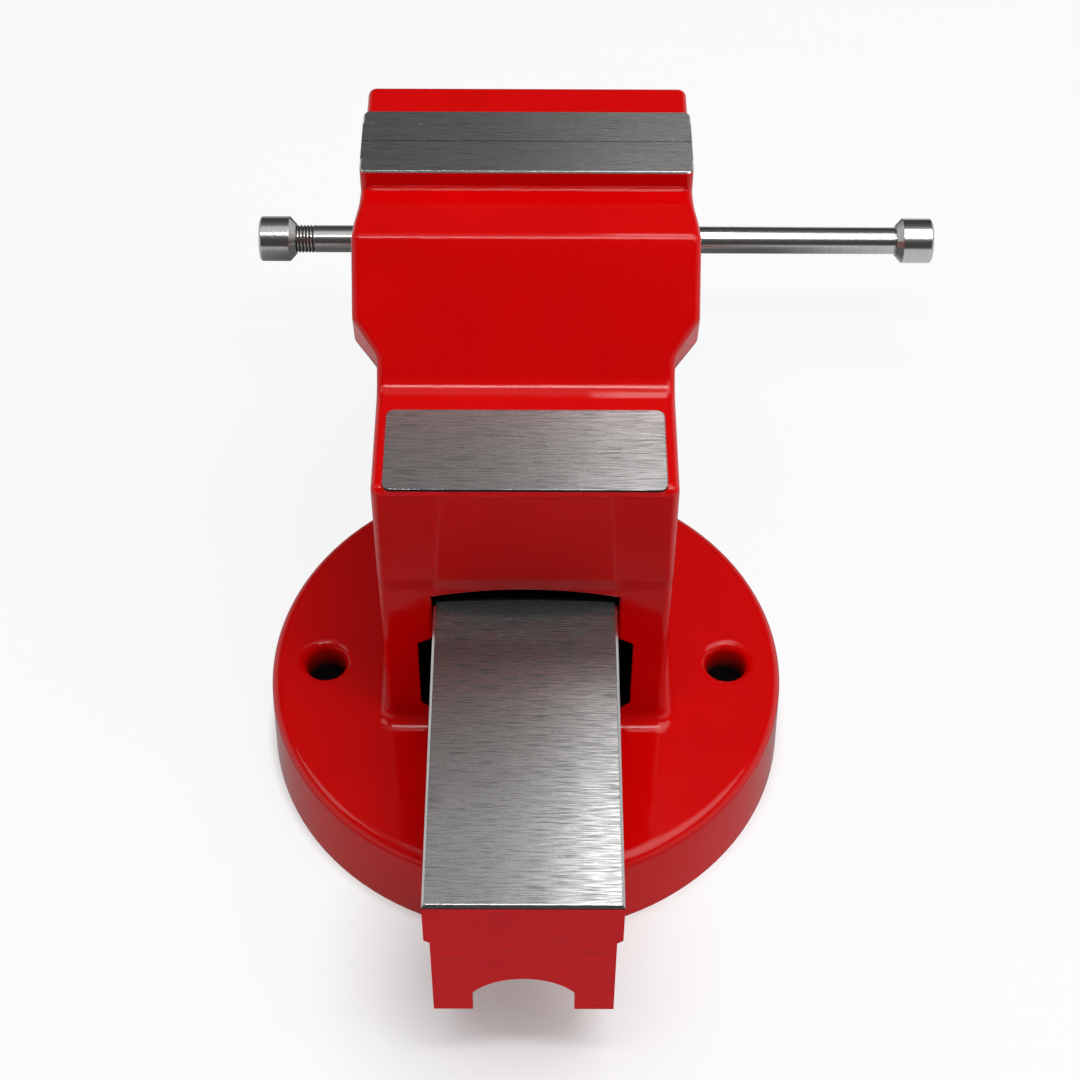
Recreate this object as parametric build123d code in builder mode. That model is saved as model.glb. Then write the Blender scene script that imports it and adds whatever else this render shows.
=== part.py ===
from build123d import *
import os
from math import atan2, degrees, radians, tan

# Bench vise with a round fixed base. X runs across the jaws, Y from the back of the vise
# towards the screw's hub, Z up. The origin is the centre of the base's underside.

# Base, in millimetres
base_diameter = 170.0
base_draft = 1.0
base_height = 30.5
base_edge_radius = 4.0
base_wall = 11.0
base_floor = 12.0
base_rib_thickness = 8.0
base_rib_depth = 10.0
bolt_inset = 18.75
bolt_hole_diameter = 13.0
bolt_mouth_radius = 3.0
bolt_boss_diameter = 30.0

# Column: two legs with the anvil block across them
column_inset = 5.5
column_depth = 82.0
column_rim_margin = 11.9
leg_thickness = 11.0
relief_slant = 3.0
relief_rise = 10.0
relief_corner = 3.5
foot_radius = 5.0
anvil_overhang = 0.6
anvil_drop = 41.5
anvil_depth = 40.0
anvil_pad_thickness = 0.4
anvil_pad_margin = 3.5
anvil_pad_depth = 31.7
anvil_pad_overhang = 0.2
anvil_pad_corner = 2.5
ramp_foot_radius = 8.0
casting_edge_radius = 2.5
profile_radius = 3.0
lip_rise = 10.0
lip_height = 5.0
lip_radius = 6.0
throat_radius = 6.0

# Jaws
jaw_overhang = 22.0
jaw_gap = 0.3
jaw_width = 100.0
jaw_height = 184.5
ridge_height = 6.5
ridge_depth = 6.2
ridge_corner_radius = 2.0
ridge_edge = 0.5
shoulder_depth = 21.0
head_overhang = 7.25
head_nose_share = 0.514
head_depth = 39.0
head_undercut = 3.7
head_flare = 9.0
head_blend_radius = 4.5
head_corner_radius = 2.0
ledge_overlap = 1.0
ledge_height = 7.0
throat_drop = 25.5

# Jaw plates and their screws
plate_thickness = 8.0
plate_height = 30.0
plate_chamfer = 0.8
plate_screw_spacing = 60.0
plate_screw_diameter = 8.0
plate_screw_head = 15.0
countersink_angle = 90.0
plate_screw_length = 22.0
plate_screw_socket = 5.0
plate_screw_socket_depth = 3.0
screw_fit = 0.1

# Slide bar of the moving jaw
slide_width = 56.0
slide_height = 56.8
slide_step = 1.7
slide_flange_height = 18.0
slide_step_bevel = 1.4
slide_foot_gap = 2.7
slide_overhang = 106.0
slide_top_edge = 0.8
channel_width = 30.0
channel_roof = 16.0
web_thickness = 10.0
web_arch_height = 17.5
web_arch_width = 29.6
web_arch_spring = 9.5
guide_clearance = 0.5
guide_rail_width = 7.0
rail_clearance = 0.3
mouth_depth = 30.0
mouth_clearance = 0.6
mouth_corner_rise = 3.2
mouth_crown_rise = 6.8
mouth_bevel = 0.8
mouth_bevel_angle = 40.0

# Moving jaw's neck and boss
moving_shoulder_depth = 21.0
moving_head_depth = 46.0
moving_corner_radius = 8.0
neck_inset = 17.0
neck_back_gap = 14.0
neck_flare = 22.5
nose_reach = 70.0
nose_rise = 48.5
nose_radius = 12.0
boss_diameter = 54.0
boss_length = 6.5
boss_edge_radius = 3.0
boss_wall = 30.0

# Lead screw
screw_rise = 22.3
screw_diameter = 20.0
screw_end_room = 20.0
screw_chamfer = 2.0
screw_clearance = 0.3
washer_thickness = 3.0
washer_gap = 0.1
thrust_washer_diameter = 34.0
washer_room = 1.0
collar_diameter = 30.0
collar_length = 3.5
hub_diameter = 34.0
hub_length = 34.0
hub_edge_radius = 5.0
pin_diameter = 4.0
pin_inset = 0.5
pin_wall = 0.8
pin_slit = 0.8
pin_fit = 0.1

# Main nut and what holds it
nut_clearance = 1.5
nut_length = 44.0
nut_inset = 28.0
nut_bolt_diameter = 10.0
nut_bolt_spacing = 24.0
nut_bolt_reach = 11.0
nut_bolt_head_width = 17.0
nut_bolt_head_height = 6.4
nut_washer_diameter = 17.0
nut_washer_thickness = 2.5
nut_washer_split = 1.0
bolt_clearance = 0.5
washer_clearance = 0.25

# Handle
handle_diameter = 10.0
handle_left = 100.5
handle_right = 151.0
handle_clearance = 0.35
cap_diameter = 16.7
cap_length = 13.5
cap_cone_length = 2.4
cap_cone_rise = 0.7
cap_edge = 0.7
cap_end_wall = 3.0
handle_thread_depth = 0.4
thread_shown_left = 7.0
thread_shown_right = 0.5
thread_fit = 0.1

# How far cuts reach past the metal, and how close an edge lies to where it is looked for
beyond = 1.0
near = 0.05

# Places that follow from the sizes above
base_radius = base_diameter / 2
bolt_spacing = base_diameter - 2 * bolt_inset
half_jaw = jaw_width / 2
half_column = half_jaw - column_inset
half_head = half_column + head_overhang
column_front = ((base_radius - column_rim_margin) ** 2 - half_column**2) ** 0.5
column_back = column_front - column_depth
flange_room = (bolt_spacing - bolt_hole_diameter) / 2 - half_column
foot_rounding = min(foot_radius, flange_room / 2)
bolt_rounding = min(bolt_mouth_radius, flange_room / 3)
sunk = base_height - base_floor / 2

slide_foot = base_height + slide_foot_gap
slide_top = slide_foot + slide_height
slide_back = column_back - slide_overhang
flange_foot = slide_top - slide_flange_height
half_slide = slide_width / 2
half_lower = half_slide - slide_step
mouth_half = half_slide + mouth_clearance
mouth_corner = slide_top + mouth_corner_rise
mouth_crown = slide_top + mouth_crown_rise
lip_middle = slide_top + lip_rise
screw_height = slide_foot + screw_rise

jaw_line = column_front + jaw_overhang
shoulder_height = jaw_height - ridge_height
plate_foot = jaw_height - plate_height
plate_screw_height = plate_foot + plate_height / 2
ledge_foot = plate_foot - ledge_height
throat_height = ledge_foot - throat_drop
anvil_height = jaw_height - anvil_drop
anvil_back = column_back - anvil_overhang
ramp_foot = anvil_back + anvil_depth
fixed_face = jaw_line - jaw_gap / 2
fixed_seat = fixed_face - plate_thickness
ridge_back = fixed_seat - ridge_depth
shoulder_back = ridge_back - shoulder_depth
ledge_front = fixed_face - ledge_overlap
ramp_slope = (shoulder_height - anvil_height) / (shoulder_back - ramp_foot)
head_underside = jaw_height - head_depth
head_nose_drop = head_nose_share * (shoulder_height - anvil_height)
head_nose_height = shoulder_height - head_nose_drop
head_nose = shoulder_back - head_nose_drop / ramp_slope

moving_face = jaw_line + jaw_gap / 2
moving_seat = moving_face + plate_thickness
ridge_front = moving_seat + ridge_depth
moving_front = ridge_front + moving_shoulder_depth
moving_ledge = moving_face + ledge_overlap
neck_back = jaw_line + neck_back_gap
moving_underside = jaw_height - moving_head_depth
neck_shoulder = moving_underside - neck_flare
nose_front = jaw_line + nose_reach
nose_height = screw_height + nose_rise
boss_front = nose_front + boss_length
channel_front = boss_front - boss_wall
channel_back = slide_back + web_thickness

screw_radius = screw_diameter / 2
screw_back = channel_back + screw_end_room
collar_back = boss_front + washer_thickness + 2 * washer_gap
hub_back = collar_back + collar_length
hub_front = hub_back + hub_length
handle_place = hub_back + hub_length / 2
handle_radius = handle_diameter / 2
retaining_washer_diameter = channel_width - 2 * washer_room
pin_length = retaining_washer_diameter - 2 * pin_inset
pin_place = channel_front - washer_thickness - 2 * washer_gap - pin_diameter / 2
half_nut = channel_width / 2 - nut_clearance
nut_back = column_back + nut_inset
nut_bolt_back = nut_back + (nut_length - nut_bolt_spacing) / 2
screw_line = Axis((0, 0, screw_height), (0, 1, 0))
screw_plane = Plane(origin=(0, 0, screw_height), x_dir=(0, 1, 0), z_dir=(1, 0, 0))
handle_line = Axis((0, handle_place, screw_height), (1, 0, 0))
handle_plane = Plane(origin=(0, handle_place, screw_height), x_dir=(1, 0, 0), z_dir=(0, -1, 0))


def across(y):
    """Upright plane across the vise at depth y, X to the right and Z up."""
    return Plane.XZ.offset(-y)


def flat(z):
    """Level plane at height z."""
    return Plane.XY.offset(z)


# Fixed casting: the side profile of legs, anvil block, ramp and gooseneck, as wide as the head
with BuildPart() as vise_body:
    with BuildSketch(Plane.YZ):
        with BuildLine():
            FilletPolyline(
                (column_back, sunk),
                (column_back, lip_middle - lip_height / 2),
                (anvil_back, lip_middle + lip_height / 2),
                (anvil_back, anvil_height),
                (ramp_foot, anvil_height),
                (shoulder_back, shoulder_height),
                (ledge_front, shoulder_height),
                (ledge_front, ledge_foot),
                (column_front, throat_height),
                (column_front, sunk),
                radius=[
                    0,
                    lip_radius,
                    lip_radius,
                    casting_edge_radius,
                    ramp_foot_radius,
                    profile_radius,
                    0,
                    profile_radius,
                    throat_radius,
                    0,
                ],
                close=True,
            )
        make_face()
    extrude(amount=half_head, both=True)

    # Seen from above, the head narrows in a soft S from its shoulder to the jaw's width
    taper_middle = ((half_head + half_jaw) / 2, (shoulder_back + ridge_back) / 2)
    with BuildSketch(Plane.XY):
        with BuildLine():
            Polyline((0, anvil_back - beyond), (half_head, anvil_back - beyond), (half_head, shoulder_back))
            TangentArc((half_head, shoulder_back), taper_middle, tangent=(0, 1))
            TangentArc((half_jaw, ridge_back), taper_middle, tangent=(0, -1))
            Polyline((half_jaw, ridge_back), (half_jaw, jaw_line), (0, jaw_line))
            mirror(about=Plane.YZ)
        make_face()
    extrude(amount=jaw_height, mode=Mode.INTERSECT)

    # Below and behind the head the sides slant in to the column, with a soft hollow between
    undercut_run = head_undercut * (jaw_height - head_nose_height) / (head_nose_height - head_underside)
    flare_angle = degrees(atan2(head_flare, head_overhang))
    flare_room = head_flare + beyond
    for side in (1, -1):
        with BuildSketch(Plane.YZ.offset(side * half_head)):
            with BuildLine():
                FilletPolyline(
                    (head_nose - undercut_run, jaw_height),
                    (head_nose + head_undercut, head_underside),
                    (jaw_line + flare_room, head_underside),
                    (jaw_line + flare_room, -flare_room),
                    (anvil_back - flare_room, -flare_room),
                    (anvil_back - flare_room, jaw_height),
                    radius=[0, head_corner_radius, 0, 0, 0, 0],
                    close=True,
                )
            make_face()
        extrude(amount=-side * head_overhang, taper=flare_angle, mode=Mode.SUBTRACT)

    def in_hollow(edge):
        """Edges where the head's flare starts from the column's side, under the ramp."""
        middle = edge.center()
        ramp_height = anvil_height + ramp_slope * (middle.Y - ramp_foot)
        on_side = abs(abs(middle.X) - half_column) < near and middle.Y > ramp_foot
        return on_side and head_underside - head_flare - near < middle.Z < ramp_height - beyond

    fillet(vise_body.edges().filter_by(in_hollow), head_blend_radius)

    def is_casting_edge(edge):
        """Edges along both sides of the casting, but not those of the jaw's face or in the base."""
        middle = edge.center()
        return middle.Y < ledge_front - near and middle.Z > sunk + near and abs(middle.X) > beyond

    fillet(vise_body.edges().filter_by(is_casting_edge), casting_edge_radius)

    # Ridge behind the jaw plate, flush with it and ground on top
    with BuildSketch(flat(shoulder_height - ledge_height)):
        with Locations((0, (ridge_back + ledge_front) / 2)):
            Rectangle(jaw_width, ledge_front - ridge_back)
        fillet(vertices().group_by(Axis.Y)[0], ridge_corner_radius)
    extrude(amount=ridge_height + ledge_height)
    ridge_top = vise_body.faces().sort_by(Axis.Z)[-1]
    chamfer(ridge_top.edges().sort_by(Axis.Y)[:-1], ridge_edge)
    with BuildSketch(flat(plate_foot)):
        with Locations((0, (fixed_seat + jaw_line) / 2)):
            Rectangle(jaw_width + beyond, jaw_line - fixed_seat)
    extrude(amount=plate_height, mode=Mode.SUBTRACT)

    # Ground pad on top of the anvil, a little proud of the casting above and behind
    with BuildSketch(flat(anvil_height - casting_edge_radius)):
        with Locations((0, anvil_back - anvil_pad_overhang + anvil_pad_depth / 2)):
            RectangleRounded(2 * half_column - 2 * anvil_pad_margin, anvil_pad_depth, anvil_pad_corner)
    extrude(amount=casting_edge_radius + anvil_pad_thickness)

    # Round base with a hollow underside, stiffened by two ribs under the legs
    with BuildSketch(Plane.XZ):
        with BuildLine():
            FilletPolyline(
                (0, base_height - base_floor),
                (base_radius - base_wall, base_height - base_floor),
                (base_radius - base_wall, 0),
                (base_radius, 0),
                (base_radius - base_draft, base_height),
                (0, base_height),
                radius=[0, base_edge_radius, 0, 0, base_edge_radius, 0],
                close=True,
            )
        make_face()
    revolve(axis=Axis.Z)

    def is_foot(edge):
        """Edges where the column stands on the base."""
        middle = edge.center()
        on_top = abs(middle.Z - base_height) < near
        within = abs(middle.X) < half_column + near and column_back - near < middle.Y < column_front + near
        return on_top and within

    fillet(vise_body.edges().filter_by(is_foot), foot_rounding)

    under = base_height - base_floor
    with BuildSketch(flat(under - base_rib_depth)):
        with Locations((half_column - leg_thickness / 2, 0), (leg_thickness / 2 - half_column, 0)):
            Rectangle(base_rib_thickness, base_diameter)
        Circle(base_radius - base_wall / 2, mode=Mode.INTERSECT)
    extrude(amount=base_rib_depth)
    with BuildSketch(flat(0)):
        with GridLocations(bolt_spacing, 0, 2, 1):
            Circle(bolt_boss_diameter / 2)
    extrude(amount=under)
    with BuildSketch(flat(0)):
        with GridLocations(bolt_spacing, 0, 2, 1):
            Circle(bolt_hole_diameter / 2)
    extrude(amount=base_height, mode=Mode.SUBTRACT)

    def is_bolt_mouth(edge):
        """Upper rims of the two bolt holes."""
        middle = edge.arc_center
        return abs(middle.Z - base_height) < near and abs(abs(middle.X) - bolt_spacing / 2) < near

    fillet(vise_body.edges().filter_by(GeomType.CIRCLE).filter_by(is_bolt_mouth), bolt_rounding)

    # Tunnel for the slide bar: a close guide, relief beside the legs, and a crowned mouth behind
    guide_back = anvil_back + mouth_depth
    tunnel_front = column_front + foot_radius + beyond
    tunnel_back = anvil_back - foot_radius - beyond
    guide_half = half_slide + guide_clearance
    relief_half = half_column - leg_thickness
    relief_top = flange_foot + guide_clearance + slide_step_bevel
    relief_foot = base_height + relief_rise
    with BuildSketch(across(tunnel_front)):
        with BuildLine():
            Polyline(
                (0, base_height),
                (relief_half - relief_corner, base_height),
                (relief_half - relief_corner, relief_foot - relief_corner),
                (relief_half, relief_foot),
                (relief_half, relief_top - relief_slant),
                (guide_half, relief_top),
                (guide_half, slide_top + guide_clearance),
                (0, slide_top + guide_clearance),
            )
            mirror(about=Plane.YZ)
        make_face()
    extrude(amount=tunnel_front - tunnel_back, mode=Mode.SUBTRACT)
    with BuildSketch(across(guide_back)):
        with BuildLine():
            Polyline(
                (-mouth_half, mouth_corner),
                (-mouth_half, relief_top),
                (mouth_half, relief_top),
                (mouth_half, mouth_corner),
            )
            ThreePointArc((mouth_half, mouth_corner), (0, mouth_crown), (-mouth_half, mouth_corner))
        make_face()
    extrude(amount=guide_back - tunnel_back, mode=Mode.SUBTRACT)

    # The crowned mouth opens outwards, so that its edge is no sharp one
    with BuildSketch(across(column_back + mouth_bevel)):
        with BuildLine():
            Polyline(
                (-mouth_half, mouth_corner),
                (-mouth_half, relief_top),
                (mouth_half, relief_top),
                (mouth_half, mouth_corner),
            )
            ThreePointArc((mouth_half, mouth_corner), (0, mouth_crown), (-mouth_half, mouth_corner))
        make_face()
    extrude(amount=mouth_bevel + anvil_overhang + beyond, taper=-mouth_bevel_angle, mode=Mode.SUBTRACT)

    # Rails that the slide bar runs on
    rail_place = (channel_width / 2 + half_lower) / 2
    rail_middle = (column_front + column_back) / 2
    with BuildSketch(flat(base_height)):
        with Locations((rail_place, rail_middle), (-rail_place, rail_middle)):
            Rectangle(guide_rail_width, column_depth)
    extrude(amount=slide_foot_gap - rail_clearance)

    # Holes for the nut's bolts and the jaw plate's screws
    with BuildSketch(flat(base_height)):
        with Locations((0, nut_bolt_back), (0, nut_bolt_back + nut_bolt_spacing)):
            Circle(nut_bolt_diameter / 2 + bolt_clearance)
    extrude(amount=-base_floor, mode=Mode.SUBTRACT)
    with BuildSketch(across(fixed_seat)):
        with Locations((0, plate_screw_height)):
            with GridLocations(plate_screw_spacing, 0, 2, 1):
                Circle(plate_screw_diameter / 2 + screw_fit)
    extrude(amount=plate_screw_length - plate_thickness + 2 * screw_fit, mode=Mode.SUBTRACT)

# Moving casting: head and neck from the side, cut to the front outline, then the slide bar and boss
with BuildPart() as moving_jaw:
    with BuildSketch(Plane.YZ):
        with BuildLine():
            FilletPolyline(
                (moving_ledge, shoulder_height),
                (moving_ledge, ledge_foot),
                (neck_back, throat_height),
                (neck_back, flange_foot),
                (nose_front, flange_foot),
                (nose_front, nose_height),
                (moving_front, moving_underside),
                (moving_front, shoulder_height),
                radius=[
                    0,
                    profile_radius,
                    throat_radius,
                    0,
                    0,
                    nose_radius,
                    moving_corner_radius,
                    profile_radius,
                ],
                close=True,
            )
        make_face()
    extrude(amount=half_jaw, both=True)
    half_neck = half_jaw - neck_inset
    with BuildSketch(across(nose_front)):
        with BuildLine():
            Polyline((0, flange_foot), (half_neck, flange_foot), (half_neck, neck_shoulder))
            TangentArc((half_neck, neck_shoulder), (half_jaw, moving_underside), tangent=(0, 1))
            Polyline((half_jaw, moving_underside), (half_jaw, jaw_height), (0, jaw_height))
            mirror(about=Plane.YZ)
        make_face()
    extrude(amount=nose_front - jaw_line, mode=Mode.INTERSECT)

    def is_head_edge(edge):
        """Edges along both sides of the head and neck, but not those of the jaw's face."""
        middle = edge.center()
        return middle.Z > flange_foot + near and middle.Y > moving_ledge + near and abs(middle.X) > beyond

    fillet(moving_jaw.edges().filter_by(is_head_edge), casting_edge_radius)

    with BuildSketch(across(nose_front)):
        with BuildLine():
            Polyline(
                (0, slide_foot),
                (half_lower, slide_foot),
                (half_lower, flange_foot - slide_step_bevel),
                (half_slide, flange_foot),
                (half_slide, slide_top - slide_top_edge),
                (half_slide - slide_top_edge, slide_top),
                (0, slide_top),
            )
            mirror(about=Plane.YZ)
        make_face()
    extrude(amount=nose_front - slide_back)
    slide_end = moving_jaw.faces().sort_by(Axis.Y)[0]
    chamfer(slide_end.edges().sort_by(Axis.Z)[-1], slide_top_edge)
    with BuildSketch(across(boss_front)):
        with Locations((0, screw_height)):
            Circle(boss_diameter / 2)
    extrude(amount=boss_wall)
    fillet(moving_jaw.faces().sort_by(Axis.Y)[-1].edges(), boss_edge_radius)

    # Ridge and seat for the jaw plate, as on the fixed jaw
    with BuildSketch(flat(shoulder_height - ledge_height)):
        with Locations((0, (ridge_front + moving_ledge) / 2)):
            Rectangle(jaw_width, ridge_front - moving_ledge)
        fillet(vertices().group_by(Axis.Y)[-1], ridge_corner_radius)
    extrude(amount=ridge_height + ledge_height)
    ridge_top = moving_jaw.faces().sort_by(Axis.Z)[-1]
    chamfer(ridge_top.edges().sort_by(Axis.Y)[1:], ridge_edge)
    with BuildSketch(flat(plate_foot)):
        with Locations((0, (moving_seat + jaw_line) / 2)):
            Rectangle(jaw_width + beyond, moving_seat - jaw_line)
    extrude(amount=plate_height, mode=Mode.SUBTRACT)

    # Channel for the screw and nut, closed behind by a web with an arch under it
    with BuildSketch(across(channel_front)):
        with Locations((0, (slide_foot + slide_top - channel_roof) / 2)):
            Rectangle(channel_width, slide_top - channel_roof - slide_foot)
    extrude(amount=channel_front - channel_back, mode=Mode.SUBTRACT)
    half_arch = web_arch_width / 2
    arch_spring = slide_foot + web_arch_spring
    arch_crown = slide_foot + web_arch_height
    with BuildSketch(across(channel_back)):
        with BuildLine():
            Polyline(
                (half_arch, arch_spring),
                (half_arch, slide_foot),
                (-half_arch, slide_foot),
                (-half_arch, arch_spring),
            )
            ThreePointArc((-half_arch, arch_spring), (0, arch_crown), (half_arch, arch_spring))
        make_face()
    extrude(amount=web_thickness, mode=Mode.SUBTRACT)
    with BuildSketch(across(boss_front)):
        with Locations((0, screw_height)):
            Circle(screw_radius + screw_clearance)
    extrude(amount=boss_wall, mode=Mode.SUBTRACT)
    with BuildSketch(across(moving_seat)):
        with Locations((0, plate_screw_height)):
            with GridLocations(plate_screw_spacing, 0, 2, 1):
                Circle(plate_screw_diameter / 2 + screw_fit)
    extrude(amount=-(plate_screw_length - plate_thickness + 2 * screw_fit), mode=Mode.SUBTRACT)

# Jaw plates, with countersunk holes from the working face
with BuildPart() as fixed_jaw_plate:
    with BuildSketch(across(fixed_face)):
        with Locations((0, plate_screw_height)):
            Rectangle(jaw_width, plate_height)
    extrude(amount=plate_thickness)
    chamfer(fixed_jaw_plate.faces().sort_by(Axis.Y)[-1].edges().filter_by(Axis.Z), plate_chamfer)
    with Locations(Plane(origin=(0, fixed_face, plate_screw_height), x_dir=(1, 0, 0), z_dir=(0, 1, 0))):
        with GridLocations(plate_screw_spacing, 0, 2, 1):
            CounterSinkHole(
                radius=plate_screw_diameter / 2 + screw_fit,
                counter_sink_radius=plate_screw_head / 2 + screw_fit,
                depth=plate_thickness,
                counter_sink_angle=countersink_angle,
            )

with BuildPart() as moving_jaw_plate:
    mirror(fixed_jaw_plate.part, about=across(jaw_line))

# One countersunk screw with a hexagon socket, head uppermost
with BuildPart() as plate_screw:
    cone_depth = (plate_screw_head - plate_screw_diameter) / 2 / tan(radians(countersink_angle / 2))
    with BuildSketch(Plane.XZ):
        with BuildLine():
            Polyline(
                (0, 0),
                (plate_screw_head / 2, 0),
                (plate_screw_diameter / 2, -cone_depth),
                (plate_screw_diameter / 2, -plate_screw_length),
                (0, -plate_screw_length),
                close=True,
            )
        make_face()
    revolve(axis=Axis.Z)
    with BuildSketch(flat(0)):
        RegularPolygon(plate_screw_socket / 2, 6, major_radius=False)
    extrude(amount=-plate_screw_socket_depth, mode=Mode.SUBTRACT)

with BuildPart() as fixed_plate_screws:
    with Locations(Plane(origin=(0, fixed_face, plate_screw_height), x_dir=(1, 0, 0), z_dir=(0, 1, 0))):
        with GridLocations(plate_screw_spacing, 0, 2, 1):
            add(plate_screw.part)

with BuildPart() as moving_plate_screws:
    mirror(fixed_plate_screws.part, about=across(jaw_line))

# Main nut: an upright block with a round top, standing on the base inside the channel
with BuildPart() as main_nut:
    with BuildSketch(across(nut_back + nut_length)):
        with BuildLine():
            Polyline(
                (-half_nut, screw_height),
                (-half_nut, base_height),
                (half_nut, base_height),
                (half_nut, screw_height),
            )
            ThreePointArc((half_nut, screw_height), (0, screw_height + half_nut), (-half_nut, screw_height))
        make_face()
        with Locations((0, screw_height)):
            Circle(screw_radius + screw_clearance, mode=Mode.SUBTRACT)
    extrude(amount=nut_length)
    with BuildSketch(flat(base_height)):
        with Locations((0, nut_bolt_back), (0, nut_bolt_back + nut_bolt_spacing)):
            Circle(nut_bolt_diameter / 2 + screw_fit)
    extrude(amount=nut_bolt_reach + screw_fit, mode=Mode.SUBTRACT)

# Bolts and spring washers that hold the nut from under the base
washer_foot = base_height - base_floor - nut_washer_thickness
with BuildPart() as nut_bolts:
    with BuildSketch(flat(washer_foot - nut_bolt_head_height)):
        with Locations((0, nut_bolt_back), (0, nut_bolt_back + nut_bolt_spacing)):
            RegularPolygon(nut_bolt_head_width / 2, 6, major_radius=False)
    extrude(amount=nut_bolt_head_height)
    with BuildSketch(flat(washer_foot)):
        with Locations((0, nut_bolt_back), (0, nut_bolt_back + nut_bolt_spacing)):
            Circle(nut_bolt_diameter / 2)
    extrude(amount=base_height + nut_bolt_reach - washer_foot)

with BuildPart() as nut_washers:
    washer_side = nut_washer_diameter / 2
    with BuildSketch(flat(washer_foot)):
        with Locations((0, nut_bolt_back), (0, nut_bolt_back + nut_bolt_spacing)):
            Circle(nut_washer_diameter / 2)
            Circle(nut_bolt_diameter / 2 + washer_clearance, mode=Mode.SUBTRACT)
        with Locations((washer_side, nut_bolt_back), (washer_side, nut_bolt_back + nut_bolt_spacing)):
            Rectangle(nut_washer_diameter, nut_washer_split, mode=Mode.SUBTRACT)
    extrude(amount=nut_washer_thickness)

# Lead screw with its collar and the hub that the handle goes through
with BuildPart() as lead_screw:
    with BuildSketch(screw_plane):
        with BuildLine():
            Polyline(
                (screw_back, 0),
                (screw_back, screw_radius - screw_chamfer),
                (screw_back + screw_chamfer, screw_radius),
                (collar_back, screw_radius),
                (collar_back, collar_diameter / 2),
                (hub_back, collar_diameter / 2),
            )
            FilletPolyline(
                (hub_back, collar_diameter / 2),
                (hub_back, hub_diameter / 2),
                (hub_front, hub_diameter / 2),
                (hub_front, 0),
                (screw_back, 0),
                radius=[0, hub_edge_radius, 0],
            )
        make_face()
    revolve(axis=screw_line)
    with BuildSketch(Plane.YZ):
        with Locations((handle_place, screw_height)):
            Circle(handle_radius + handle_clearance)
    extrude(amount=hub_diameter, both=True, mode=Mode.SUBTRACT)
    with BuildSketch(flat(screw_height)):
        with Locations((0, pin_place)):
            Circle(pin_diameter / 2 + pin_fit)
    extrude(amount=screw_diameter, both=True, mode=Mode.SUBTRACT)

with BuildPart() as thrust_washer:
    with BuildSketch(across(collar_back - washer_gap)):
        with Locations((0, screw_height)):
            Circle(thrust_washer_diameter / 2)
            Circle(screw_radius + screw_clearance, mode=Mode.SUBTRACT)
    extrude(amount=washer_thickness)

with BuildPart() as retaining_washer:
    with BuildSketch(across(channel_front - washer_gap)):
        with Locations((0, screw_height)):
            Circle(retaining_washer_diameter / 2)
            Circle(screw_radius + screw_clearance, mode=Mode.SUBTRACT)
    extrude(amount=washer_thickness)

# Rolled spring pin through the screw, behind the retaining washer
with BuildPart() as spring_pin:
    with BuildSketch(flat(screw_height - pin_length / 2)):
        with Locations((0, pin_place)):
            Circle(pin_diameter / 2)
            Circle(pin_diameter / 2 - pin_wall, mode=Mode.SUBTRACT)
        with Locations((pin_diameter / 2, pin_place)):
            Rectangle(pin_diameter, pin_slit, mode=Mode.SUBTRACT)
    extrude(amount=pin_length)

# Handle bar with a screw thread's room at each end, and its two caps
thread_radius = handle_radius - handle_thread_depth
left_shoulder = cap_length + thread_shown_left - handle_left
right_shoulder = handle_right - cap_length - thread_shown_right
with BuildPart() as handle_bar:
    with BuildSketch(handle_plane):
        with BuildLine():
            Polyline(
                (cap_end_wall - handle_left, 0),
                (cap_end_wall - handle_left, thread_radius),
                (left_shoulder, thread_radius),
                (left_shoulder, handle_radius),
                (right_shoulder, handle_radius),
                (right_shoulder, thread_radius),
                (handle_right - cap_end_wall, thread_radius),
                (handle_right - cap_end_wall, 0),
                close=True,
            )
        make_face()
    revolve(axis=handle_line)


def make_cap(end, side):
    """Turned cap whose outer end is at X = end and which points outwards to side (1 or -1)."""
    with BuildPart() as cap:
        with BuildSketch(handle_plane):
            with BuildLine():
                Polyline(
                    (end, 0),
                    (end, cap_diameter / 2 - cap_edge),
                    (end - side * cap_edge, cap_diameter / 2),
                    (end - side * (cap_length - cap_cone_length), cap_diameter / 2),
                    (end - side * cap_length, handle_radius + cap_cone_rise),
                    (end - side * cap_length, thread_radius + thread_fit),
                    (end - side * cap_end_wall, thread_radius + thread_fit),
                    (end - side * cap_end_wall, 0),
                    close=True,
                )
            make_face()
        revolve(axis=handle_line)
    return cap


handle_cap_left = make_cap(-handle_left, -1)
handle_cap_right = make_cap(handle_right, 1)

pieces = {
    "vise_body": vise_body,
    "fixed_jaw_plate": fixed_jaw_plate,
    "fixed_plate_screws": fixed_plate_screws,
    "main_nut": main_nut,
    "nut_bolts": nut_bolts,
    "nut_washers": nut_washers,
    "moving_jaw": moving_jaw,
    "moving_jaw_plate": moving_jaw_plate,
    "moving_plate_screws": moving_plate_screws,
    "lead_screw": lead_screw,
    "thrust_washer": thrust_washer,
    "retaining_washer": retaining_washer,
    "spring_pin": spring_pin,
    "handle_bar": handle_bar,
    "handle_cap_left": handle_cap_left,
    "handle_cap_right": handle_cap_right,
}
os.makedirs("parts", exist_ok=True)
for name, piece in pieces.items():
    piece.part.label = name
    export_step(piece.part, f"parts/{name}.step")
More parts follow.
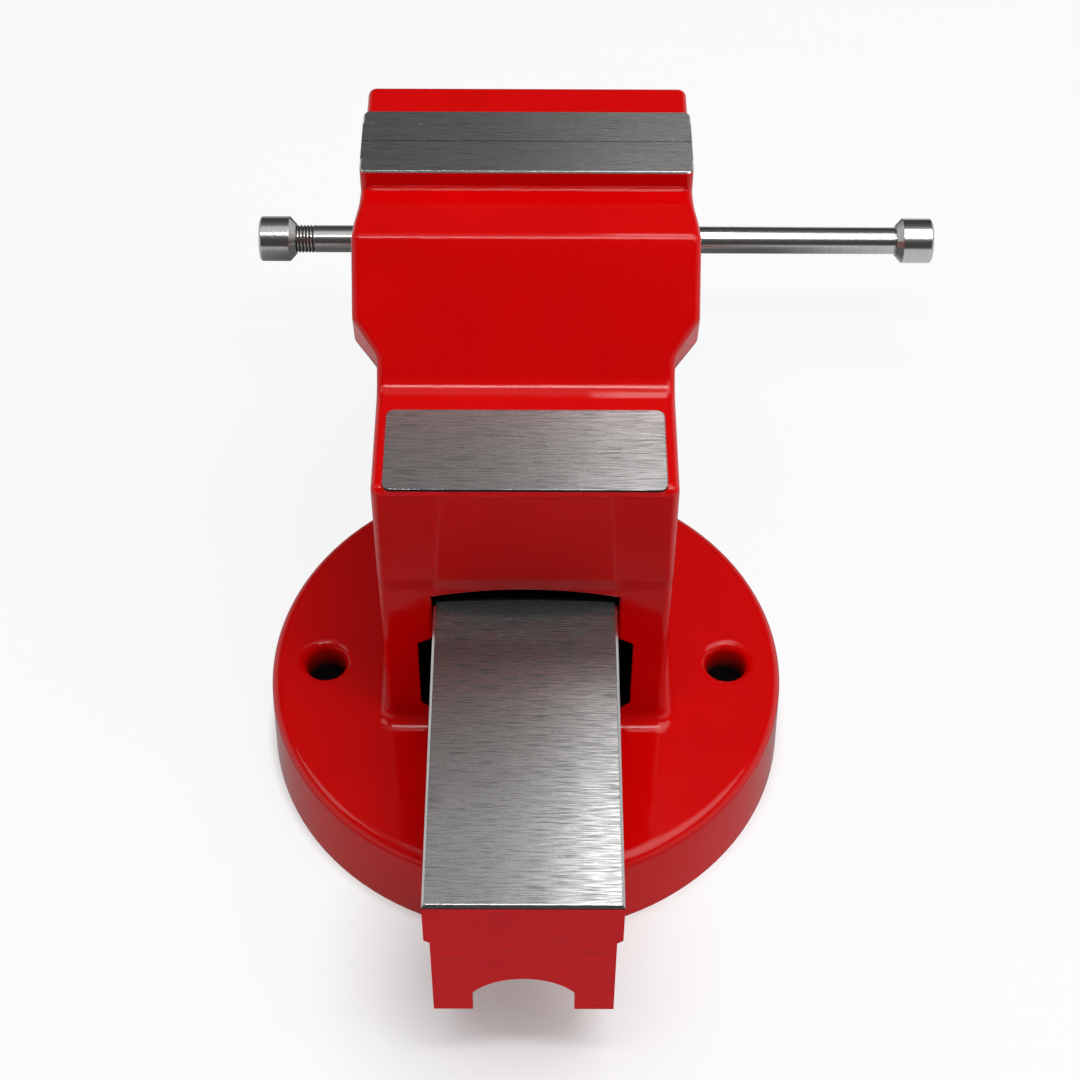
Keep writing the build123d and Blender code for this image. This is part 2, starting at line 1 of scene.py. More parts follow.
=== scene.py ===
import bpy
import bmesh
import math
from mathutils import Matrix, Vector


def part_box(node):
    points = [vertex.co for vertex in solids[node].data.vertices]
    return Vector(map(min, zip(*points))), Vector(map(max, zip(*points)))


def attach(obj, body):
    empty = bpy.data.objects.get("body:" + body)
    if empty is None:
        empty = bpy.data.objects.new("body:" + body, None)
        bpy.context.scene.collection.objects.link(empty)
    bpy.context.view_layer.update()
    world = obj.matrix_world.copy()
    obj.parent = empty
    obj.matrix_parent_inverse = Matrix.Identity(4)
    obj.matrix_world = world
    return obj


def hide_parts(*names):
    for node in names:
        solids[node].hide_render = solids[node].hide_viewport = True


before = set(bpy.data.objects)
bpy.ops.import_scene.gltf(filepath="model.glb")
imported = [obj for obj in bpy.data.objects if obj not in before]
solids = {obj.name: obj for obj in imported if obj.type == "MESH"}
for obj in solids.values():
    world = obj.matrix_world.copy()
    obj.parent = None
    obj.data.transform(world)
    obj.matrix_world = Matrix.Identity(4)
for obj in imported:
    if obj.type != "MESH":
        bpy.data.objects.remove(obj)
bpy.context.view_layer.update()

# %% [markdown]
# This lesson dresses a bench vise. The solids come from the CAD frame, already at real size
# and in the right place, so we never move them: we only give them finishes and add the fine
# pieces that solids leave out, such as screw threads and the cross-cut faces of the jaws.

scene = bpy.context.scene
scene.view_settings.view_transform = "Standard"

# %% [markdown]
# The photograph looks down on the back of the vise, from a little above arm's height and with
# a moderately long lens. A camera could be aimed by hand, but the edges of the base and slide and
# the bolt holes give its place and angles by calculation. We build the three directions of the
# camera from those angles and write them into its matrix, which leaves no guess in the framing.

# %% the camera
photo_pixels = 1080
focal_pixels = 2232.4
sensor_width = 36
camera_place = (0.00334, -0.4508, 0.61886)
look_down = math.radians(49.425)
look_right = math.radians(0.136)
tilt = math.radians(0.284)
forward = Vector((
    math.sin(look_right) * math.cos(look_down),
    math.cos(look_right) * math.cos(look_down),
    -math.sin(look_down),
))
level = Vector((math.cos(look_right), -math.sin(look_right), 0))
upright = level.cross(forward)
camera_right = level * math.cos(tilt) + upright * math.sin(tilt)
camera_up = upright * math.cos(tilt) - level * math.sin(tilt)
photo_lens = bpy.data.cameras.new("photo_camera")
photo_lens.sensor_fit = "HORIZONTAL"
photo_lens.sensor_width = sensor_width
photo_lens.lens = sensor_width * focal_pixels / photo_pixels
photo_lens.clip_start = 0.02
photo_camera = bpy.data.objects.new("photo_camera", photo_lens)
scene.collection.objects.link(photo_camera)
photo_camera.matrix_world = (
    Matrix.Translation(camera_place)
    @ Matrix((camera_right, camera_up, -forward)).transposed().to_4x4()
)
scene.camera = photo_camera
print("camera lens:", round(photo_lens.lens, 1), "mm")

# %% [markdown]
# Finishes are node materials. Each starts from the Principled shader, and a few helpers add the
# nodes that we use again and again: grain is a noise that can be stretched into streaks, between
# maps it to a range of numbers, and tints maps it to two colours. The noise reads object
# coordinates, which here are metres, so its scale is in grains for each metre.

# %% helpers for finishes
def new_finish(name):
    """A node material; returns it with its node tree and its shader."""
    finish = bpy.data.materials.new(name)
    finish.use_nodes = True
    return finish, finish.node_tree, finish.node_tree.nodes["Principled BSDF"]


def grain(tree, scale, stretch=(1, 1, 1), detail=2.0):
    """Noise with this many grains for each metre, stretched along the axes given less than 1."""
    place = tree.nodes.new("ShaderNodeTexCoord")
    mapping = tree.nodes.new("ShaderNodeMapping")
    mapping.inputs["Scale"].default_value = stretch
    noise = tree.nodes.new("ShaderNodeTexNoise")
    noise.inputs["Scale"].default_value = scale
    noise.inputs["Detail"].default_value = detail
    tree.links.new(place.outputs["Object"], mapping.inputs["Vector"])
    tree.links.new(mapping.outputs["Vector"], noise.inputs["Vector"])
    return noise.outputs["Fac"]


def between(tree, source, low, high, start=0.3, end=0.7):
    """Maps a source that lies between start and end, as most noise does, to numbers from low to high."""
    spread = tree.nodes.new("ShaderNodeMapRange")
    spread.inputs["From Min"].default_value = start
    spread.inputs["From Max"].default_value = end
    spread.inputs["To Min"].default_value = low
    spread.inputs["To Max"].default_value = high
    tree.links.new(source, spread.inputs["Value"])
    return spread.outputs["Result"]


def tints(tree, source, first, second, start=0.3, end=0.7):
    """Maps a noise to a colour between two colours."""
    ramp = tree.nodes.new("ShaderNodeValToRGB")
    ramp.color_ramp.elements[0].position = start
    ramp.color_ramp.elements[0].color = (*first, 1)
    ramp.color_ramp.elements[1].position = end
    ramp.color_ramp.elements[1].color = (*second, 1)
    tree.links.new(source, ramp.inputs["Fac"])
    return ramp.outputs["Color"]


def rounded_edges(tree, radius):
    """A normal that runs softly over sharp edges, as a broken edge does on the real piece."""
    soften = tree.nodes.new("ShaderNodeBevel")
    soften.samples = 4
    soften.inputs["Radius"].default_value = radius
    return soften.outputs["Normal"]


def relief(tree, height, depth, under=None):
    """Bumps as deep as depth, in metres, on top of another normal if one is given."""
    bump = tree.nodes.new("ShaderNodeBump")
    bump.inputs["Strength"].default_value = 1.0
    bump.inputs["Distance"].default_value = depth
    tree.links.new(height, bump.inputs["Height"])
    if under is not None:
        tree.links.new(under, bump.inputs["Normal"])
    return bump.outputs["Normal"]


print("finish helpers are ready")

# %% [markdown]
# Most of the vise is cast iron under a thick, glossy red enamel. A plain red would look like
# plastic, so the colour drifts a little from place to place, the gloss varies, and two layers of
# relief show through: the slow waves of the casting and the fine skin of the sprayed paint.
# Edges get a soft normal, because thick paint draws back into a bead along every edge. A second,
# duller enamel is for the lip over the slide's mouth, where the casting was left rough.

# %% red enamel
enamel_dark = (0.575, 0.0006, 0.0007)
enamel_light = (0.615, 0.0009, 0.0010)
paint_bead = 0.0009


def red_paint(name, gloss_low, gloss_high, wave_depth, skin_depth):
    """Enamel with its roughness between two values and its waves and skin as deep as given."""
    finish, tree, shader = new_finish(name)
    colour = tints(tree, grain(tree, 38), enamel_dark, enamel_light)
    gloss = between(tree, grain(tree, 150), gloss_low, gloss_high)
    waves = relief(tree, grain(tree, 95, detail=1.0), wave_depth, rounded_edges(tree, paint_bead))
    skin = relief(tree, grain(tree, 820, detail=1.0), skin_depth, waves)
    tree.links.new(colour, shader.inputs["Base Color"])
    tree.links.new(gloss, shader.inputs["Roughness"])
    tree.links.new(skin, shader.inputs["Normal"])
    shader.inputs["Specular IOR Level"].default_value = 0.30
    return finish


red_enamel = red_paint("red_enamel", 0.06, 0.11, wave_depth=0.00006, skin_depth=0.000004)
rough_enamel = red_paint("rough_enamel", 0.30, 0.40, wave_depth=0.00008, skin_depth=0.000010)
print("finishes:", red_enamel.name, rough_enamel.name)

# %% [markdown]
# The back end of the slide bar was painted after it was sawn, so its red is duller and shows the
# strokes of the saw under the paint. A dark line runs under its upper edge. It is partly iron bared
# by grinding the top and partly painted shade under the steel's edge, and the rim of the anvil pad
# has one too. One material can hold both: the height above the floor decides where the paint stops,
# and a narrow ramp makes the line.

# %% dull paint of sawn and ground edges, with a line of painted shade
bare_iron_and_shade = (0.012, 0.009, 0.009, 1)
stroke_dark = (0.64, 0.003, 0.006)
stroke_light = (0.78, 0.006, 0.011)
shade_line_blur = 0.00008
slide_top = 0.090
slide_shade_line = 0.0013
pad_top = 0.1434
pad_shade_line = 0.0009


def along_axis(tree, axis, kind="Object"):
    """The place of a point along one axis, in metres for object coordinates."""
    place = tree.nodes.new("ShaderNodeTexCoord")
    split = tree.nodes.new("ShaderNodeSeparateXYZ")
    tree.links.new(place.outputs[kind], split.inputs["Vector"])
    return split.outputs[axis]


def bared_and_shaded(tree, paint, painted_height, bare_height):
    """Paint that gives way to dark bare iron between two heights; the dark is partly painted shade."""
    dark_share = between(tree, along_axis(tree, "Z"), 0, 1, painted_height, bare_height)
    mix = tree.nodes.new("ShaderNodeMix")
    mix.data_type = "RGBA"
    mix.inputs["B"].default_value = bare_iron_and_shade
    tree.links.new(dark_share, mix.inputs["Factor"])
    tree.links.new(paint, mix.inputs["A"])
    return mix.outputs["Result"]


def edge_paint(name, shade_line_height, streak):
    """Dull red that turns into a dark line of bare iron and painted shade above this height, with
    strokes along X.
    """
    finish, tree, shader = new_finish(name)
    strokes = grain(tree, 900, stretch=(streak, 1, 1), detail=3.0)
    red = tints(tree, strokes, stroke_dark, stroke_light)
    # the top of this face turns dark: bare iron and a line of painted shade
    painted = bared_and_shaded(tree, red, shade_line_height - shade_line_blur, shade_line_height + shade_line_blur)
    tree.links.new(painted, shader.inputs["Base Color"])
    tree.links.new(between(tree, strokes, 0.42, 0.6), shader.inputs["Roughness"])
    tree.links.new(relief(tree, strokes, 0.00005), shader.inputs["Normal"])
    shader.inputs["Specular IOR Level"].default_value = 0.12
    return finish


slide_end_paint = edge_paint("slide_end_paint", slide_top - slide_shade_line, streak=0.08)
pad_edge_paint = edge_paint("pad_edge_paint", pad_top - pad_shade_line, streak=0.2)
print("finishes:", slide_end_paint.name, pad_edge_paint.name)

# %% [markdown]
# The bolt holes use the same idea the other way round. Paint has run a little way down their walls
# and fades into dark bare iron, which deeper down is also painted shade. The drips are a noise that
# is stretched along Z. A wall deep in a hole hardly shines, so its roughness is high and its
# specular level is near zero.

# %% the walls of the bolt holes
paint_ends = 0.0265
iron_and_shade_begin = 0.0195
bolt_bore, bore_tree, bore_shader = new_finish("bolt_bore")
drips = grain(bore_tree, 300, stretch=(1, 1, 0.3))
wet_red = tints(bore_tree, drips, enamel_dark, enamel_light)
# the red fades into dark iron and painted shade deeper in the hole
red_fading_to_shade = bared_and_shaded(bore_tree, wet_red, paint_ends, iron_and_shade_begin)
bore_tree.links.new(red_fading_to_shade, bore_shader.inputs["Base Color"])
bore_tree.links.new(between(bore_tree, drips, 0.55, 0.75), bore_shader.inputs["Roughness"])
bore_shader.inputs["Specular IOR Level"].default_value = 0.04
print("finish:", bolt_bore.name)

# %% [markdown]
# The anvil pad, the slide's top and the jaws' tops are ground bare. Grinding leaves thousands of
# fine scratches in one direction, here along X. The scratches could be modelled one by one, but
# a noise that is stretched twenty-five times along X gives the same look: it changes the colour
# and the roughness together, with a second, wider set of streaks mixed into the fine one. Light
# spreads across such scratches and hardly along them. The shader's Anisotropic input does that,
# and a Tangent node gives it the direction. The slide also darkens towards its tunnel as painted
# shade: a dark tint that is multiplied in and fades towards the slide's free end.

# %% ground steel
lines_along_x = (0.04, 1, 1)
wide_share = 0.25
streak_low = 0.38
streak_high = 0.62
tunnel_shade_tint = (0.34, 0.38, 0.38, 1)


def shaded_near_tunnel(tree, colour, lit_y, shaded_y):
    """A colour under painted shade that grows from one place along Y to another."""
    shade_mix = tree.nodes.new("ShaderNodeMix")
    shade_mix.data_type = "RGBA"
    shade_mix.blend_type = "MULTIPLY"
    shade_mix.inputs["B"].default_value = tunnel_shade_tint
    tree.links.new(between(tree, along_axis(tree, "Y"), 0, 1, lit_y, shaded_y), shade_mix.inputs["Factor"])
    tree.links.new(colour, shade_mix.inputs["A"])
    return shade_mix.outputs["Result"]


def ground_steel(
    name, dark, light, rough_low, rough_high, depth,
    lines=lines_along_x, edge=0.0004, spread=None, tunnel_shade=None,
):
    """Bare steel with streaks; spread is the axis of the scratches, tunnel_shade where its painted shade
    fades.
    """
    finish, tree, shader = new_finish(name)
    fine = grain(tree, 3300, stretch=lines)
    wide = grain(tree, 1200, stretch=lines)
    mixed = tree.nodes.new("ShaderNodeMix")
    mixed.inputs["Factor"].default_value = wide_share
    tree.links.new(fine, mixed.inputs["A"])
    tree.links.new(wide, mixed.inputs["B"])
    streaks = mixed.outputs["Result"]
    colour = tints(tree, streaks, dark, light, streak_low, streak_high)
    # painted shade that darkens the slide towards its tunnel
    if tunnel_shade:
        colour = shaded_near_tunnel(tree, colour, *tunnel_shade)
    rough = between(tree, streaks, rough_high, rough_low, streak_low, streak_high)
    scratches = relief(tree, fine, depth, rounded_edges(tree, edge))
    tree.links.new(colour, shader.inputs["Base Color"])
    tree.links.new(rough, shader.inputs["Roughness"])
    tree.links.new(scratches, shader.inputs["Normal"])
    shader.inputs["Metallic"].default_value = 1.0
    if spread:
        shader.inputs["Anisotropic"].default_value = 0.85
        tangent = tree.nodes.new("ShaderNodeTangent")
        tangent.direction_type = "RADIAL"
        tangent.axis = spread
        tree.links.new(tangent.outputs["Tangent"], shader.inputs["Tangent"])
    return finish


grey_dark = (0.20, 0.20, 0.197)
grey_light = (0.72, 0.72, 0.71)
jaw_dark = (0.24, 0.24, 0.236)
jaw_light = (0.70, 0.70, 0.69)
ground_depth = 0.0000015
tunnel_shade_span = (-0.105, -0.042)
ground_face = ground_steel(
    "ground_face", grey_dark, grey_light, 0.22, 0.32, ground_depth, spread="X"
)
slide_face = ground_steel(
    "slide_face", grey_dark, grey_light, 0.22, 0.32, ground_depth, spread="X", tunnel_shade=tunnel_shade_span
)
jaw_steel = ground_steel(
    "jaw_steel", jaw_dark, jaw_light, 0.20, 0.28, 0.000001, edge=0.00002, spread="X"
)
print("finishes:", ground_face.name, slide_face.name, jaw_steel.name)

# %% [markdown]
# The handle is bright turned steel. A lathe leaves rings round the bar, so the same streak noise
# is stretched across X instead of along it. The rings are shallow, and the steel shows the dim
# walls, the bright ceiling and the pale floor as soft bands along the bar. The lead screw is
# machined and duller, the nut is bare cast iron, and the bores that never see paint are bare iron
# in a near-black that is painted shade, which makes them read as deep holes.

# %% polished and machined steel
rings_round_x = (1, 0.03, 0.03)
rings_round_y = (0.03, 1, 0.03)
faint_lines = (0.4, 0.4, 1)
no_lines = (1, 1, 1)
cast_depth = 0.00006
polished_steel = ground_steel(
    "polished_steel", (0.57, 0.56, 0.55), (0.64, 0.63, 0.62), 0.16, 0.22, 0.0000012, rings_round_x
)
screw_steel = ground_steel(
    "screw_steel", (0.24, 0.235, 0.23), (0.46, 0.45, 0.44), 0.24, 0.42, 0.00001, rings_round_y
)
fastener_steel = ground_steel(
    "fastener_steel", (0.26, 0.26, 0.27), (0.42, 0.42, 0.43), 0.30, 0.46, 0.00001, faint_lines
)
nut_iron = ground_steel(
    "nut_iron", (0.09, 0.088, 0.085), (0.20, 0.195, 0.19), 0.45, 0.65, cast_depth, no_lines
)
# near-black bare iron; inside the tunnel its darkness is painted shade
bare_bore_and_shade = ground_steel(
    "bare_bore_and_shade", (0.008, 0.008, 0.008), (0.022, 0.021, 0.020), 0.5, 0.7, cast_depth, no_lines
)
print("finishes:", polished_steel.name, screw_steel.name, fastener_steel.name)
print("finishes:", nut_iron.name, bare_bore_and_shade.name)

# %% [markdown]
# Each solid now gets its finish. A casting carries several: enamel almost everywhere, bare steel
# where it was ground, a bright line along the chamfers of the ground faces, and dark iron inside
# the bolt holes and the slide's tunnel, whose darkness is partly painted shade. The mesh isn't cut
# for this. Every face has a material index, and a small rule reads the face's middle and direction
# and says which finish it has.

# %% a helper that finishes a solid
level_face = 0.95
leaning_face = 0.3
jaw_tops = 183.9


def finish_solid(name, finishes, rule=None):
    """Gives a solid its finishes; rule(middle, normal) picks one, with the middle in millimetres."""
    mesh = solids[name].data
    mesh.materials.clear()
    for finish in finishes:
        mesh.materials.append(finish)
    counts = [0] * len(finishes)
    for face in mesh.polygons:
        chosen = rule(face.center * 1000, face.normal) if rule else finishes[0]
        face.material_index = finishes.index(chosen)
        counts[face.material_index] += 1
    print(name, dict(zip([finish.name for finish in finishes], counts)))


def within(value, limits):
    """True where a number lies between two limits."""
    return limits[0] < value < limits[1]


# %% [markdown]
# The fixed casting comes first. Its rule asks from the top down: the ridge behind the jaw plate,
# the anvil pad with its chamfer, the bolt holes, the tunnel, the pad's painted rim and the rough
# lip over the mouth. What is left is enamel. The limits lie a little outside each feature, so
# that every face of it has its middle inside them.

# %% finishes of the fixed casting
pad_half_width = 41.2
pad_depth = (-25.2, 7.2)
pad_ground = 143.2
pad_chamfer = 142.8
pad_rim = (140.4, 143.5)
bolt_hole_x = 66.25
bolt_hole_reach = 6.8
tunnel_half_width = 34
tunnel_depth = (-23.3, 57.9)
tunnel_height = (30.4, 97.5)
lip_front = -22
lip_height = (96, 104)
facing_back = -0.8


def body_rule(middle, normal):
    """Bare pad and ridge, the pad's rim of dull paint with a line of painted shade, holes and tunnel
    dark with bare iron and painted shade.
    """
    from_centre = abs(middle.x)
    wall = abs(normal.z) < leaning_face
    on_pad = from_centre < pad_half_width and within(middle.y, pad_depth)
    in_tunnel = from_centre < tunnel_half_width and within(middle.y, tunnel_depth)
    if normal.z > leaning_face and middle.z > jaw_tops:
        return jaw_steel if normal.z > level_face else polished_steel
    if normal.z > level_face and on_pad and middle.z > pad_ground:
        return ground_face
    if normal.z > leaning_face and on_pad and middle.z > pad_chamfer:
        return polished_steel
    # bolt hole walls: red fading into dark iron and painted shade deeper down
    if wall and math.hypot(from_centre - bolt_hole_x, middle.y) < bolt_hole_reach:
        return bolt_bore
    # the tunnel's faces are near-black: bare iron and painted shade
    if in_tunnel and within(middle.z, tunnel_height):
        return bare_bore_and_shade
    # the pad's rim is dull paint with a line of painted shade under the pad's top edge
    if wall and on_pad and within(middle.z, pad_rim):
        return pad_edge_paint
    if normal.y < facing_back and middle.y < lip_front and within(middle.z, lip_height):
        return rough_enamel
    return red_enamel


body_bare = [ground_face, pad_edge_paint, jaw_steel, bare_bore_and_shade, polished_steel, bolt_bore]
finish_solid("vise_body", [red_enamel, *body_bare, rough_enamel], body_rule)

# %% [markdown]
# The moving casting is finished the same way: its ridge and its slide are bare on top, the
# slide's sawn end has the dull paint, and the front of the boss is machined where the thrust
# washer runs. The small pieces have one finish each.

# %% finishes of the moving casting and the small pieces
slide_ground = (89.8, 90.2)
slide_chamfer = (89, 90.1)
slide_front = 94.5
slide_end = -129
boss_face = 156.3


def jaw_rule(middle, normal):
    """Slide bar and ridge are bare on top, the slide's end is dull paint, the boss is machined."""
    on_slide = middle.y < slide_front
    if normal.z > leaning_face and middle.z > jaw_tops:
        return jaw_steel if normal.z > level_face else polished_steel
    if normal.z > level_face and on_slide and within(middle.z, slide_ground):
        return slide_face
    if normal.z > leaning_face and on_slide and within(middle.z, slide_chamfer):
        return polished_steel
    # the slide's end carries a line of painted shade under its top edge
    if normal.y < -level_face and middle.y < slide_end:
        return slide_end_paint
    if normal.y > level_face and middle.y > boss_face:
        return screw_steel
    return red_enamel


jaw_bare = [slide_face, slide_end_paint, screw_steel, jaw_steel, polished_steel]
finish_solid("moving_jaw", [red_enamel, *jaw_bare], jaw_rule)
for name in ("handle_bar", "handle_cap_left", "handle_cap_right"):
    finish_solid(name, [polished_steel])
for name in ("fixed_plate_screws", "moving_plate_screws", "nut_bolts", "nut_washers"):
    finish_solid(name, [fastener_steel])
for name in ("thrust_washer", "retaining_washer", "spring_pin"):
    finish_solid(name, [screw_steel])
finish_solid("main_nut", [nut_iron])

# %% [markdown]
# New pieces are made as meshes. This helper takes lists of corners and faces, merges corners that
# lie on each other, turns all faces outwards, and shades the mesh smooth with sharp edges kept.
# It also tells the frame which moving body the piece rides on and which finish it takes.

# %% a helper for new pieces
same_place = 1e-6


def new_piece(name, corners, faces, finish, body, sharp):
    """A closed mesh in metres that rides on a body; edges over this many degrees stay sharp."""
    mesh = bpy.data.meshes.new(name)
    mesh.from_pydata([tuple(corner) for corner in corners], [], faces)
    clean = bmesh.new()
    clean.from_mesh(mesh)
    bmesh.ops.remove_doubles(clean, verts=clean.verts, dist=same_place)
    bmesh.ops.dissolve_degenerate(clean, edges=clean.edges, dist=same_place)
    bmesh.ops.recalc_face_normals(clean, faces=clean.faces)
    clean.to_mesh(mesh)
    clean.free()
    for face in mesh.polygons:
        face.use_smooth = True
    mesh.set_sharp_from_angle(angle=math.radians(sharp))
    mesh.materials.append(finish)
    piece = bpy.data.objects.new(name, mesh)
    scene.collection.objects.link(piece)
    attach(piece, body)
    print(name, "faces:", len(mesh.polygons))
    return piece


# %% [markdown]
# A screw thread is a profile that climbs as it goes round. It could be made with the Screw
# modifier, but in code the ends come out clean: we wind the profile along the axis, hold every
# corner between the two ends, and close each end with a round cap. The same function makes the
# fine thread of the handle and the coarse thread of the lead screw.

# %% winding a thread
def wind_thread(start, end, pitch, profile, steps, place):
    """Corners and faces of a threaded rod; place(along, across, up) gives the point in metres."""
    turns = math.ceil((end - start) / pitch) + 2
    corners = []
    faces = []
    last = turns * steps
    width = len(profile)
    for index in range(last + 1):
        angle = 2 * math.pi * index / steps
        base = start - pitch + pitch * index / steps
        for share, radius in profile:
            along = min(max(base + share * pitch, start), end)
            corners.append(place(along, radius * math.cos(angle), radius * math.sin(angle)))
    for index in range(last - steps):
        for step in range(width):
            here = index * width + step
            there = here + width
            above = here + 1 if step < width - 1 else (index + steps) * width
            beyond = above + width
            faces.append((here, there, beyond, above))
    faces.append([index * width for index in range(steps)])
    faces.append([index * width for index in range(last - steps, last)])
    return corners, faces


# %% [markdown]
# The handle's caps are screwed on, and at the left a few turns of the thread show beside the cap.
# The crests are wide and the flanks steep, as on a rolled thread. The faces below the crest take
# the dark iron finish, as painted shade in the grooves.

# %% the handle's thread
handle_y = 0.1802
handle_z = 0.0555
thread_left = -0.0872
thread_right = -0.0799
fine_pitch = 0.00125
fine_root = 0.00462
fine_crest = 0.00512
groove_shade_radius = 0.00505


def on_handle(along, across, up):
    """A point on the handle, whose axis runs along X."""
    return (along, handle_y + across, handle_z + up)


fine_profile = [(0.0, fine_root), (0.22, fine_crest), (0.60, fine_crest), (0.82, fine_root)]
corners, faces = wind_thread(thread_left, thread_right, fine_pitch, fine_profile, 32, on_handle)
handle_thread = new_piece(
    "handle_thread", corners, faces, polished_steel, "handle", 25
)
handle_thread.data.materials.append(nut_iron)
# faces below the crest get the dark iron as painted shade in the grooves
for face in handle_thread.data.polygons:
    from_axis = math.hypot(face.center.y - handle_y, face.center.z - handle_z)
    face.material_index = 1 if from_axis < groove_shade_radius else 0

# %% [markdown]
# The lead screw has a strong trapezoid thread of 5 mm pitch: the jaw moves that far with each
# turn. The solid has only a plain shaft, so this piece stands for it. Its hub and journal are
# copied from the solid, cut off square where the thread begins and capped, and the threaded rod
# is joined to it. Cutting a copy with a plane is quicker and cleaner than a Boolean here.

# %% the lead screw
thread_front = 0.108
thread_overlap = 0.001
screw_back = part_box("lead_screw")[0][1]
coarse_pitch = 0.005
coarse_root = 0.00730
coarse_crest = 0.00995


def on_screw(along, across, up):
    """A point on the lead screw, whose axis runs along Y."""
    return (across, along, handle_z + up)


hub = bmesh.new()
hub.from_mesh(solids["lead_screw"].data)
bmesh.ops.remove_doubles(hub, verts=hub.verts, dist=same_place)
cut = bmesh.ops.bisect_plane(
    hub,
    geom=hub.verts[:] + hub.edges[:] + hub.faces[:],
    plane_co=(0, thread_front, 0),
    plane_no=(0, 1, 0),
    clear_inner=True,
)
rim = [part for part in cut["geom_cut"] if isinstance(part, bmesh.types.BMEdge)]
bmesh.ops.holes_fill(hub, edges=rim, sides=0)
hub.verts.index_update()
corners = [vertex.co.copy() for vertex in hub.verts]
faces = [[vertex.index for vertex in face.verts] for face in hub.faces]
hub.free()
coarse_profile = [(0.0, coarse_root), (0.16, coarse_crest), (0.50, coarse_crest), (0.66, coarse_root)]
rod_end = thread_front + thread_overlap
rod_corners, rod_faces = wind_thread(screw_back, rod_end, coarse_pitch, coarse_profile, 40, on_screw)
offset = len(corners)
corners += rod_corners
faces += [[offset + index for index in face] for face in rod_faces]
threaded_screw = new_piece(
    "threaded_screw", corners, faces, screw_steel, "lead_screw", 30
)
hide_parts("lead_screw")

# %% [markdown]
# The jaw plates are held by countersunk screws. Their holes are cut with the Boolean modifier: a
# cone for the screw's head and a cylinder for its shank, both a little longer than the hole, so
# that no two faces lie on each other. The modifier's result becomes the piece's own mesh.

# %% drilling a jaw plate
screw_x = 0.030
head_radius = 0.0077
cone_end_radius = 0.0040
shank_radius = 0.0041
cone_start = 0.0001
cone_depth = 0.0036
shank_start = 0.0030
shank_past = 0.002
round_steps = 48


def add_cone(shape, x, z, wide_end, narrow_end):
    """Adds a closed cone along Y to a mesh; each end is a radius and a place along Y."""
    rings = []
    for radius, y in (wide_end, narrow_end):
        ring = []
        for turn in range(round_steps):
            angle = math.tau * turn / round_steps
            ring.append(shape.verts.new((x + radius * math.cos(angle), y, z + radius * math.sin(angle))))
        rings.append(ring)
    wide, narrow = rings
    for turn in range(round_steps):
        after = (turn + 1) % round_steps
        shape.faces.new((wide[turn], wide[after], narrow[after], narrow[turn]))
    shape.faces.new(wide)
    shape.faces.new(narrow)


def drill_plate(plate, front, back, side, middle):
    """Cuts the two screw holes, at the height middle, from the working face to the back."""
    drill = bpy.data.meshes.new("drill")
    shape = bmesh.new()
    for x in (-screw_x, screw_x):
        cone = (head_radius, front + side * cone_start), (cone_end_radius, front - side * cone_depth)
        shank = (shank_radius, front - side * shank_start), (shank_radius, back - side * shank_past)
        add_cone(shape, x, middle, *cone)
        add_cone(shape, x, middle, *shank)
    bmesh.ops.recalc_face_normals(shape, faces=shape.faces)
    shape.to_mesh(drill)
    shape.free()
    cutter = bpy.data.objects.new("drill", drill)
    scene.collection.objects.link(cutter)
    boring = plate.modifiers.new("holes", "BOOLEAN")
    boring.object = cutter
    boring.operation = "DIFFERENCE"
    boring.use_self = True
    evaluated = plate.evaluated_get(bpy.context.evaluated_depsgraph_get())
    bored = bpy.data.meshes.new_from_object(evaluated)
    plate.modifiers.clear()
    plate.data = bored
    bpy.data.objects.remove(cutter)
    print(plate.name, "after drilling:", len(plate.data.polygons))


print("drill is ready")

# %% [markdown]
# The working faces of the jaw plates are cross-cut, so that work doesn't slip. Each face is a
# grid of small pyramids: the corners of the grid are peaks and pits by turns, and the squares are
# split between the pits, which makes the grooves run at 45 degrees. A plain rim is left round the
# pattern, and the other five sides of the plate are plain.

# %% cross-cut jaw plates
groove = 0.0005
cell = 0.001
rim_cells = 4


